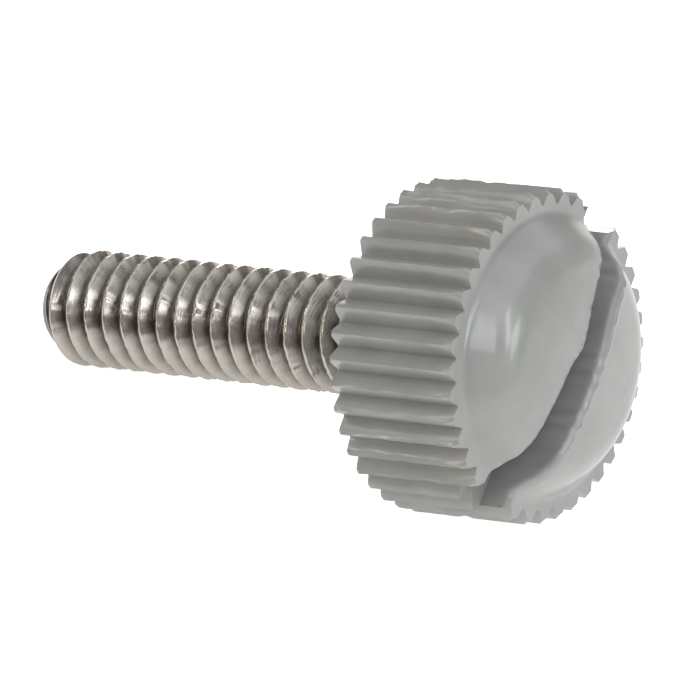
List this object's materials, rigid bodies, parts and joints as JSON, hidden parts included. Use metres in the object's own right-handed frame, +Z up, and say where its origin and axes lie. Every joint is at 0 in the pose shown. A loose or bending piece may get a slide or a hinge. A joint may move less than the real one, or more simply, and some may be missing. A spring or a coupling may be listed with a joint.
{
  "type": "thumb screw",
  "caption": "Thumb screw with a knurled plastic head, a domed crown with a full-width driver slot, and a threaded steel stud moulded into it.",
  "frame": {"origin": "centre of the lying screw's footprint box, on the surface it lies on", "axes": "+Z up; +X from the stud's end towards the head; the screw's own axis lies in the XZ plane and rises towards the head by about 13.7 degrees"},
  "size_m": [0.0226, 0.0114, 0.0122],
  "materials": {
    "head_plastic": "moulded grey nylon with a low satin gloss",
    "stud_steel": "bright nickel-plated steel with a rolled thread"
  },
  "bodies": {
    "root": {"knurled_head": "head_plastic", "threaded_stud": "stud_steel"}
  },
  "joints": []
}
